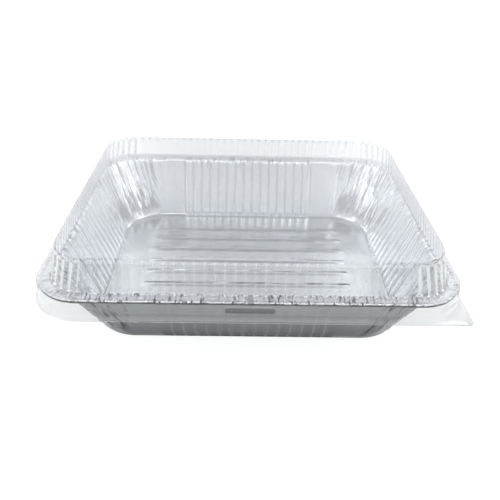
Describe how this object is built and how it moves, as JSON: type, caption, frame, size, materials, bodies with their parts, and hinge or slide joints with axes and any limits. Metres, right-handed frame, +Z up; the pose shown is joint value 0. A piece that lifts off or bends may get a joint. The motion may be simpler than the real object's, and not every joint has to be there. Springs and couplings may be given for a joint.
{
  "type": "lidded foil food container",
  "caption": "Rectangular pressed foil food pan with fluted walls and a rolled rim, closed by a clear fluted dome lid with one lifting tab.",
  "frame": {"origin": "centre of the pan's resting face, on the surface it stands on", "axes": "+X along the pan's length, +Y towards its back, +Z up out of its mouth"},
  "size_m": [0.3328, 0.2728, 0.0876],
  "materials": {
    "foil": "bright, finely wrinkled foil",
    "clear_plastic": "clear and glossy"
  },
  "bodies": {
    "pan": {"foil_pan": "foil"},
    "lid": {"clear_lid": "clear_plastic"}
  },
  "joints": [
    {"name": "lid_lift", "type": "slide", "parent": "pan", "child": "lid", "axis": [0, 0, 1], "range_m": [0, 0.1]}
  ]
}
